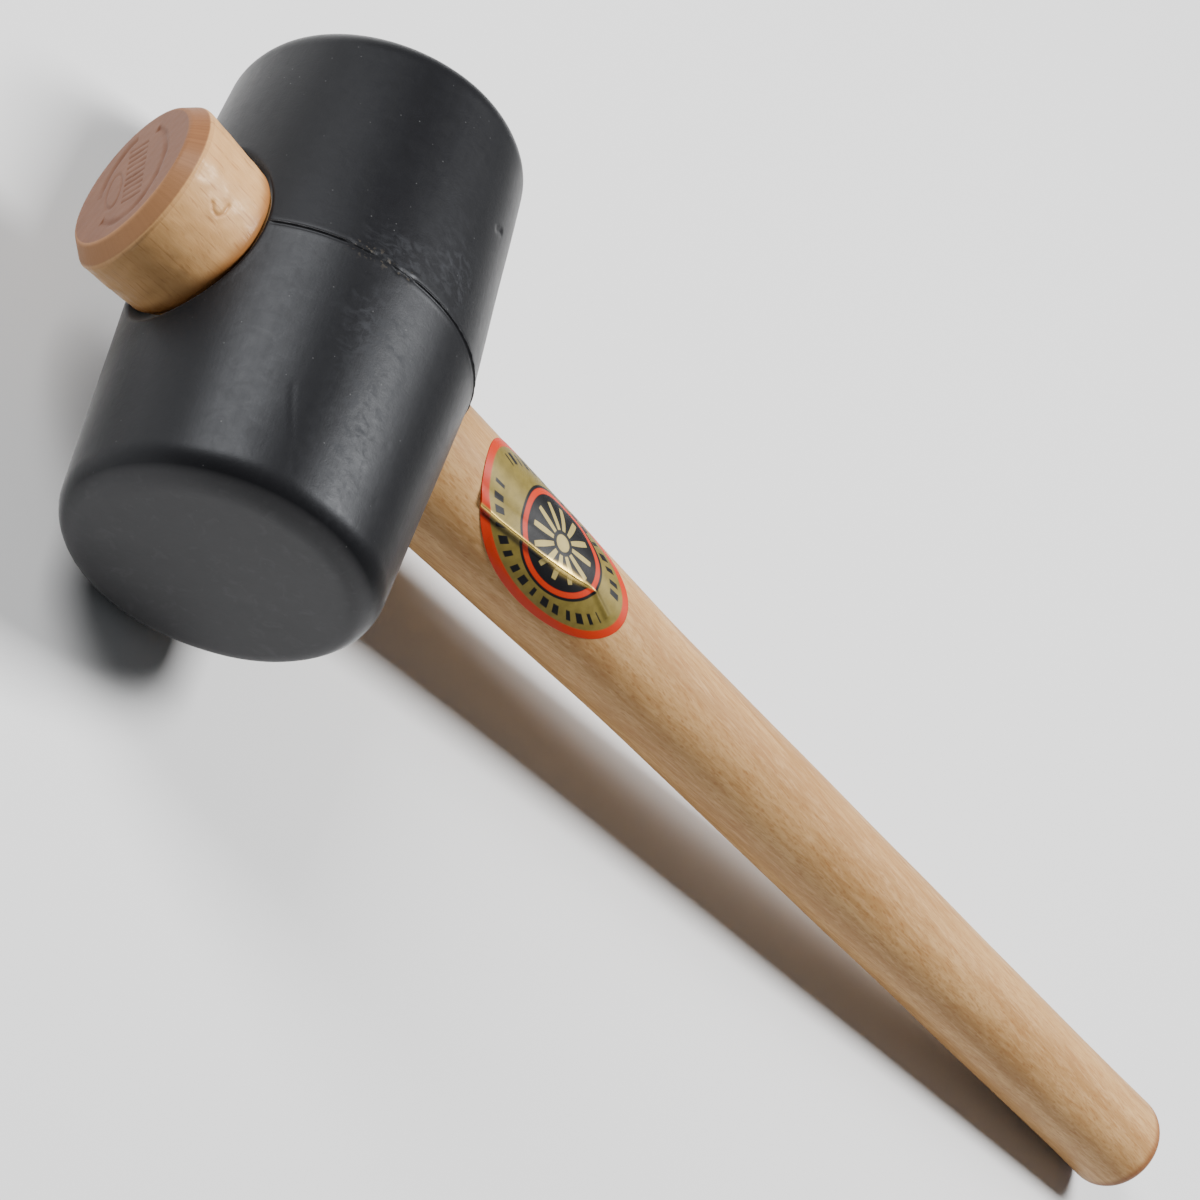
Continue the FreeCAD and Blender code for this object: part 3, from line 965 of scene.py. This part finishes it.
def end_grain_material():
    material, shader = new_material("beech_end_grain")
    mark = painted("stamp")
    tight = noise(place(), 3.4, 5, 0.7)
    _, y, z = split(place())
    ringed = sine(year_angle(y, z)) * 0.5 + 0.5
    cloud = noise(place(), 0.14, 3)
    butt = mix(step(tight, 0.35, 0.65), (0.122, 0.049, 0.024), (0.144, 0.060, 0.031))
    butt = mix(ringed * 0.25, butt, (0.106, 0.041, 0.019))
    butt = mix(step(cloud, 0.4, 0.65) * 0.4, butt, (0.165, 0.070, 0.035))
    colour = mix(mark * 0.9, butt, (0.090, 0.028, 0.008))
    plug(colour, shader.inputs["Base Color"])
    plug(0.52 + tight * 0.15, shader.inputs["Roughness"])
    shader.inputs["Specular IOR Level"].default_value = 0.3
    plug(bump(tight, 0.1, 0.0003), shader.inputs["Normal"])
    return material


def ink(shape, radius):
    """1 inside an oval, with a printed edge."""
    return 1 - step(shape, radius - INK_EDGE, radius + INK_EDGE)


def oval(u, v):
    """Distance from an oval's middle, as a share of its outline's."""
    return (u ** 2 + v ** 2) ** 0.5


def tick_marks(u, v, field):
    """A broken ring of plain bars inside the label's border, parted at both ends."""
    turn = Value.math("ARCTAN2", v, u)
    dashes = step(sine(turn * 34.0) + sine(turn * 13.0) * 0.5, 0.0, 0.25)
    band = ink(field, 0.93) - ink(field, 0.80)
    parted = step(size_of(sine(turn)), 0.22, 0.26)
    return dashes * band * parted


def sunburst(u, v, hub):
    """A plain round sun with twelve rays, in the label's hub."""
    turn = Value.math("ARCTAN2", v, u)
    rays = step(sine(turn * 12.0) * 0.5 + 0.5 - (hub - 0.3), 0.38, 0.46)
    return clamped(rays * (ink(hub, 0.74) - ink(hub, 0.24)) + ink(hub, 0.16))


def foil_material():
    material, shader = new_material("printed_gold_foil")
    chart_u, chart_v = charted()
    along = (chart_u - 0.5) * (2 * LABEL_HALF_LONG)
    across = (chart_v - 0.5) * (2 * LABEL_HALF_WIDE)
    field_place = along / FIELD_LONG, across / FIELD_WIDE
    hub_place = (along - HUB_ALONG) / HUB_LONG, (across - HUB_ASIDE) / HUB_WIDE
    field, hub = oval(*field_place), oval(*hub_place)
    border = 1 - ink(field, 1.0)
    ticks = tick_marks(*field_place, field)
    star = sunburst(*hub_place, hub)
    ridge_glint, shade = painted("ridge_glint"), painted("shade")
    mottled = noise(place(), 0.5, 4)
    gold = mix(step(mottled, 0.25, 0.75), (0.152, 0.114, 0.026), (0.200, 0.152, 0.036))
    colour = mix(ticks, gold, INK_AND_SHADOW_BLACK)
    colour = mix(ink(hub, 1.06), colour, INK_AND_SHADOW_BLACK)
    colour = mix(ink(hub, 1.0), colour, INK_RED)
    colour = mix(ink(hub, 0.89), colour, INK_AND_SHADOW_BLACK)
    colour = mix(star, colour, (0.34, 0.27, 0.095))
    colour = mix(border, colour, INK_RED)
    # Painted highlight: the fold's ridge is bright, fully metallic gold with less roughness.
    colour = mix(ridge_glint, colour, (0.95, 0.67, 0.17))
    # Painted shadow beside the folds, in the print's black.
    colour = mix(shade * 0.75, colour, INK_AND_SHADOW_BLACK)
    plug(colour, shader.inputs["Base Color"])
    printed = clamped(border + ticks + ink(hub, 1.06) - star)
    plug(clamped((1 - printed) * 0.15 + ridge_glint), shader.inputs["Metallic"])
    plug(0.42 + mottled * 0.08 - ridge_glint * 0.16, shader.inputs["Roughness"])
    shader.inputs["Specular IOR Level"].default_value = 0.18
    shader.inputs["Coat Weight"].default_value = 0.03
    shader.inputs["Coat Roughness"].default_value = 0.18
    plug(bump(mottled, 0.1, 0.0004), shader.inputs["Normal"])
    return material


def floor_material():
    material, shader = new_material("pale_floor")
    shader.inputs["Base Color"].default_value = (0.72, 0.72, 0.72, 1)
    shader.inputs["Roughness"].default_value = 0.7
    return material


# ------------------------------------------------------------------ floor, light and camera
FLOOR_REACH = 6.0
FLOOR_CORNERS = ((-1, -1), (1, -1), (1, 1), (-1, 1))
SKY_COLOUR, SKY_STRENGTH = (0.9, 0.95, 1, 1), 0.12
LAMP_DISTANCE = 1.3
# The camera was fitted to the photo's outlines of the head, knob, grip and parting line.
CAMERA_AT = (-0.3564919, -0.3333777, 0.3636022)
CAMERA_RIGHT = Vector((0.6241236, 0.1785741, 0.7606451))
CAMERA_UP = Vector((-0.5578878, 0.7834394, 0.2738320))
CAMERA_SENSOR, CAMERA_LENS, CAMERA_CLIP = 36.0, 86.11, 0.01


def lay_floor():
    mesh = bpy.data.meshes.new("floor")
    verts = [(FLOOR_REACH * a, FLOOR_REACH * b, cad_box[0].z) for a, b in FLOOR_CORNERS]
    mesh.from_pydata(verts, [], [(0, 1, 2, 3)])
    floor = bpy.data.objects.new("floor", mesh)
    bpy.context.scene.collection.objects.link(floor)
    floor.data.materials.append(floor_material())


def light_sky():
    world = bpy.data.worlds.new("studio")
    bpy.context.scene.world = world
    world.use_nodes = True
    background = world.node_tree.nodes["Background"]
    background.inputs["Color"].default_value = SKY_COLOUR
    background.inputs["Strength"].default_value = SKY_STRENGTH


def placed(right, up, back, where):
    """World matrix of a lamp or camera that looks away from its back."""
    return Matrix.Translation(where) @ Matrix((right, up, back)).transposed().to_4x4()


def softbox(name, toward, width, height, watts):
    """Area light in a direction from the head, its height turned towards the frame's Y."""
    back = Vector(toward).normalized()
    tall = Vector((0, 1, 0)) - back * back.y
    tall.normalize()
    light = bpy.data.lights.new(name, "AREA")
    light.shape = "RECTANGLE"
    light.size, light.size_y = width, height
    light.energy = watts
    lamp = bpy.data.objects.new(name, light)
    where = Vector(CENTRE.tolist()) + back * LAMP_DISTANCE
    lamp.matrix_world = placed(tall.cross(back), tall, back, where)
    bpy.context.scene.collection.objects.link(lamp)


def set_camera():
    data = bpy.data.cameras.new("camera")
    data.sensor_width = CAMERA_SENSOR
    data.lens = CAMERA_LENS
    data.clip_start = CAMERA_CLIP
    camera = bpy.data.objects.new("camera", data)
    back = CAMERA_RIGHT.cross(CAMERA_UP)
    camera.matrix_world = placed(CAMERA_RIGHT, CAMERA_UP, back, CAMERA_AT)
    bpy.context.scene.collection.objects.link(camera)
    bpy.context.scene.camera = camera


build_head()
build_handle()
build_label()
lay_floor()
light_sky()
softbox("key", (0.40, 0.26, 0.87), 0.58, 0.34, 34)
softbox("side", (-0.74, 0.36, 0.54), 0.85, 0.38, 27)
set_camera()
